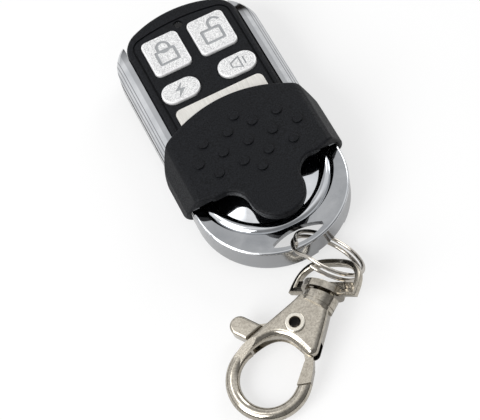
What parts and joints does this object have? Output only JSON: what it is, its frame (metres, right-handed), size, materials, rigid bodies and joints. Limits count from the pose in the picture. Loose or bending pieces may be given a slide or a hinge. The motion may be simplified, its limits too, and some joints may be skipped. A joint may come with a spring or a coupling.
{
  "type": "key fob remote control",
  "caption": "Slide-cover key fob remote control with push buttons, a chrome frame, a split ring and a swivel trigger clasp.",
  "frame": {"origin": "middle of the fob's flat back, at the height of the surface it rests on", "axes": "+X to the fob's right, +Y towards its button end, +Z out of its face"},
  "size_m": [0.0427, 0.0884, 0.0141],
  "materials": {
    "chrome": "mirror-bright plating",
    "black_plastic": "fine spark-eroded grain",
    "button_silver": "sand-textured silver",
    "label_silver": "brushed champagne silver",
    "clear_plastic": "clear",
    "steel": "plain",
    "ring_steel": "nickel plated wire",
    "nickel": "satin nickel plate",
    "board": "solder mask",
    "copper": "bare copper",
    "seal_rubber": "matt",
    "chip_black": "moulded",
    "ceramic": "plain"
  },
  "bodies": {
    "fob": {"chrome_frame": "chrome", "front_panel": "black_plastic", "back_cover": "black_plastic", "label_plate": "label_silver", "light_pipe": "clear_plastic", "case_screws": "steel", "circuit_board": "board", "antenna_track": "copper", "tact_switch_1": "chip_black", "tact_switch_2": "chip_black", "tact_switch_3": "chip_black", "tact_switch_4": "chip_black", "keypad_seal": "seal_rubber", "signal_lamp": "ceramic", "encoder_chip": "chip_black", "resonator": "steel", "transistor": "chip_black", "chip_resistors": "ceramic", "chip_capacitors": "ceramic", "battery": "steel", "battery_contact_plus": "steel", "battery_contact_minus": "steel"},
    "slider": {"slide_cover": "black_plastic"},
    "lock_key": {"lock_button": "button_silver"},
    "unlock_key": {"unlock_button": "button_silver"},
    "flash_key": {"flash_button": "button_silver"},
    "horn_key": {"horn_button": "button_silver"},
    "key_ring": {"split_ring": "ring_steel"},
    "d_link": {"d_ring": "nickel"},
    "clasp": {"clasp_body": "nickel", "swivel_post": "nickel", "rivet": "nickel", "lever_spring": "steel"},
    "trigger": {"lever": "nickel"}
  },
  "joints": [
    {"name": "cover_slide", "type": "slide", "parent": "fob", "child": "slider", "axis": [0, 1, 0], "range_m": [0, 0.022]},
    {"name": "lock_press", "type": "slide", "parent": "fob", "child": "lock_key", "axis": [0, 0, -1], "range_m": [0, 0.00035], "stiffness_N_per_m": 60, "springref_m": -0.005},
    {"name": "unlock_press", "type": "slide", "parent": "fob", "child": "unlock_key", "axis": [0, 0, -1], "range_m": [0, 0.00035], "stiffness_N_per_m": 60, "springref_m": -0.005},
    {"name": "flash_press", "type": "slide", "parent": "fob", "child": "flash_key", "axis": [0, 0, -1], "range_m": [0, 0.00035], "stiffness_N_per_m": 60, "springref_m": -0.005},
    {"name": "horn_press", "type": "slide", "parent": "fob", "child": "horn_key", "axis": [0, 0, -1], "range_m": [0, 0.00035], "stiffness_N_per_m": 60, "springref_m": -0.005},
    {"name": "ring_swing", "type": "hinge", "parent": "fob", "child": "key_ring", "pos_m": [0.001, -0.0302, 0.006], "axis": [1, 0, 0], "range_deg": [-25, 8]},
    {"name": "d_swing", "type": "hinge", "parent": "key_ring", "child": "d_link", "pos_m": [0.00426, -0.04053, 0.0083], "axis": [0.7186, -0.0467, -0.6938], "range_deg": [-40, 4]},
    {"name": "swivel", "type": "hinge", "parent": "d_link", "child": "clasp", "pos_m": [-0.00168, -0.04021, 0.00543], "axis": [0.7421, 0.6682, 0.0523], "continuous": true},
    {"name": "trigger_press", "type": "hinge", "parent": "clasp", "child": "trigger", "pos_m": [-0.00827, -0.04303, 0.0045], "axis": [0.1082, 0.073, -0.9914], "range_deg": [0, 20], "stiffness_Nm_per_rad": 0.006, "springref_deg": -28.65}
  ]
}
